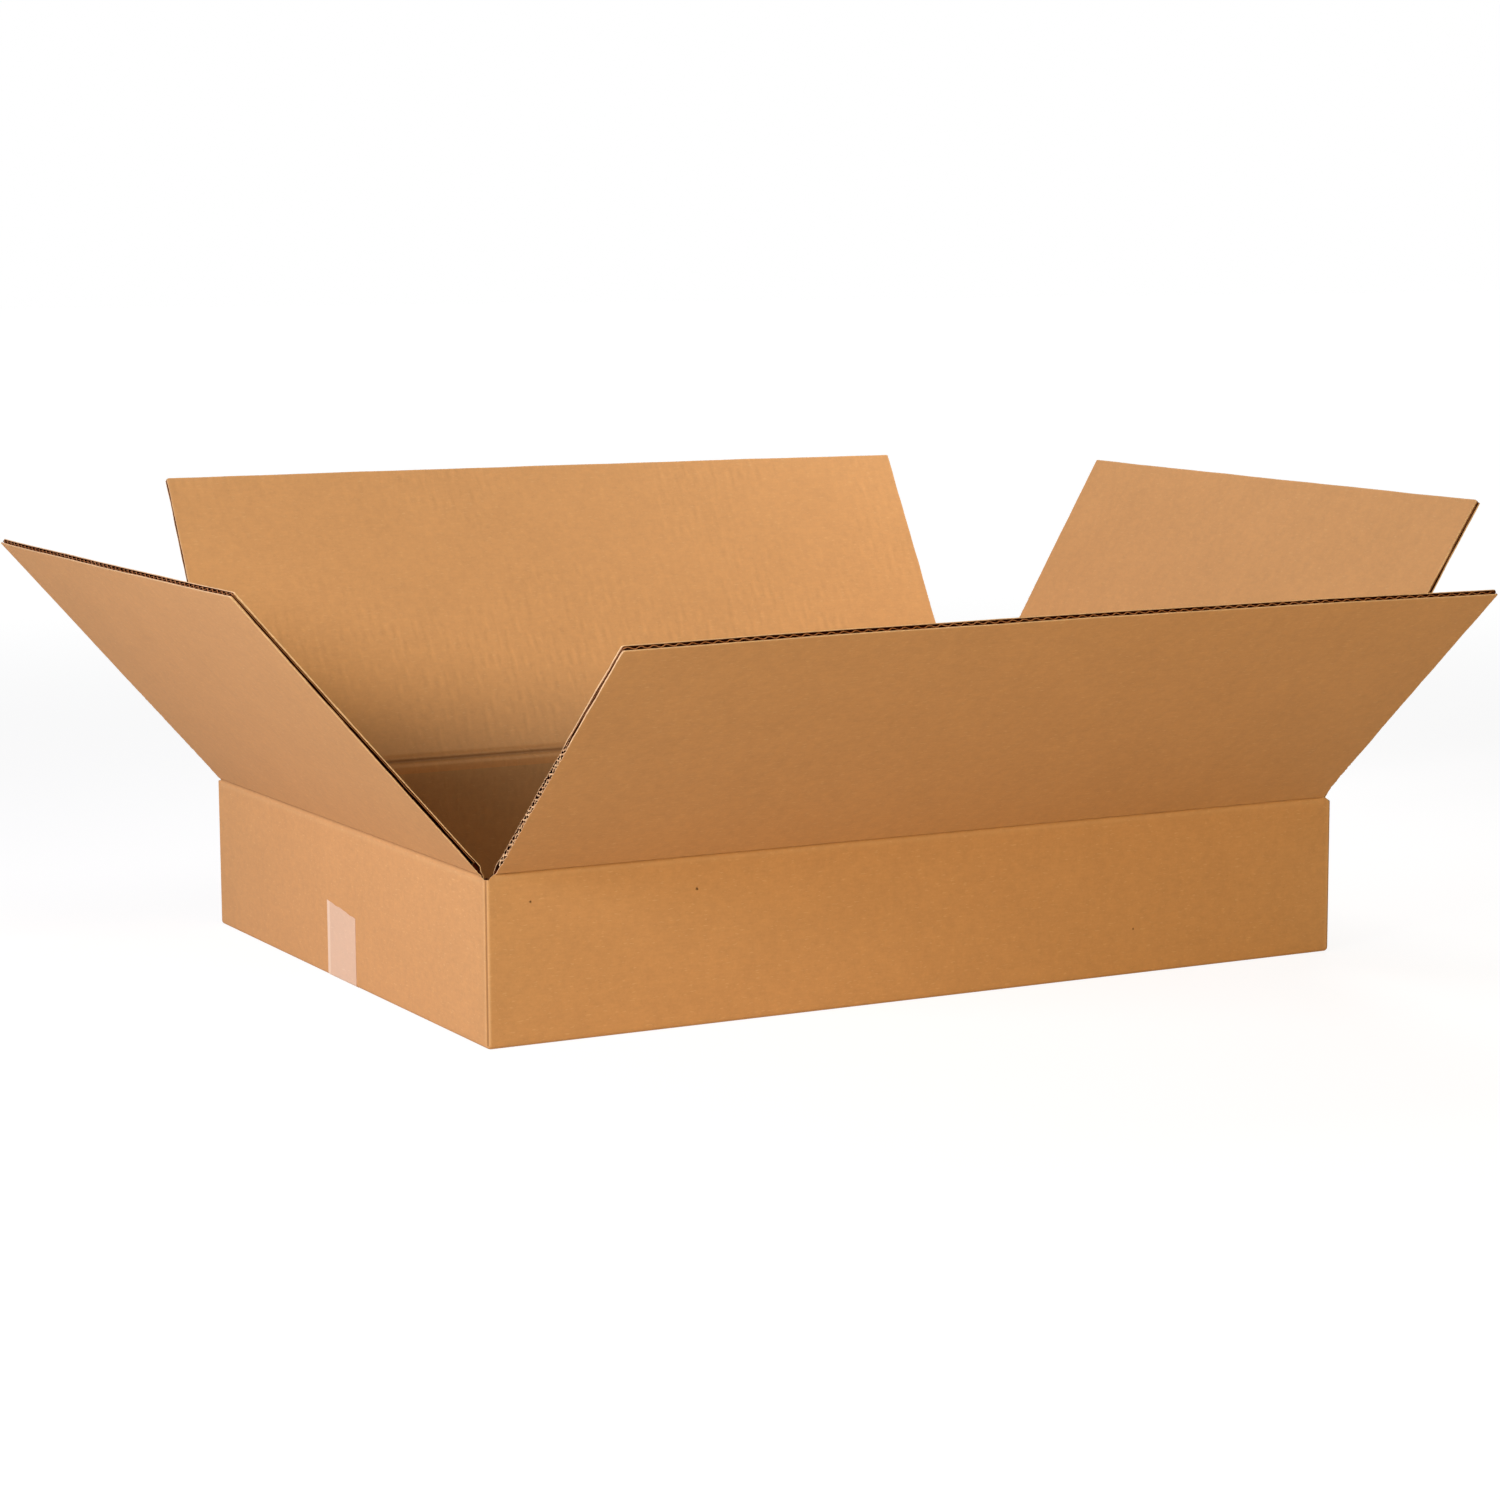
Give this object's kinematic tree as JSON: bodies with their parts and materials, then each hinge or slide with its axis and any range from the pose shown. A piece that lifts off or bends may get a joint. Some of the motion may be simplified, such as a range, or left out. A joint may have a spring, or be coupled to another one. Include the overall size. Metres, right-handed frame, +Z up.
{
  "type": "open cardboard box",
  "caption": "Shallow corrugated shipping box standing with its hinged top flaps open, its bottom flaps folded shut and taped.",
  "frame": {"origin": "middle of the base, on the surface that the box stands on", "axes": "+X along the box, +Y across it towards the back wall, +Z up"},
  "size_m": [0.8954, 0.7465, 0.3092],
  "materials": {
    "kraft_board": "matte",
    "kraft_sheet": "matte",
    "tape": "satin"
  },
  "bodies": {
    "box": {"box_body": "kraft_board", "sealing_tape": "tape"},
    "flap_front": {"front_flap": "kraft_sheet"},
    "flap_back": {"back_flap": "kraft_sheet"},
    "flap_left": {"left_flap": "kraft_sheet"},
    "flap_right": {"right_flap": "kraft_sheet"}
  },
  "joints": [
    {"name": "front_crease", "type": "hinge", "parent": "box", "child": "flap_front", "pos_m": [0, -0.2306, 0.106], "axis": [1, 0, 0], "range_deg": [-138.5, 66.5]},
    {"name": "back_crease", "type": "hinge", "parent": "box", "child": "flap_back", "pos_m": [0, 0.2306, 0.106], "axis": [-1, 0, 0], "range_deg": [-118.5, 86.5]},
    {"name": "left_crease", "type": "hinge", "parent": "box", "child": "flap_left", "pos_m": [-0.3088, 0, 0.1037], "axis": [0, -1, 0], "range_deg": [-131.5, 73.5]},
    {"name": "right_crease", "type": "hinge", "parent": "box", "child": "flap_right", "pos_m": [0.3088, 0, 0.1037], "axis": [0, 1, 0], "range_deg": [-123, 82]}
  ]
}
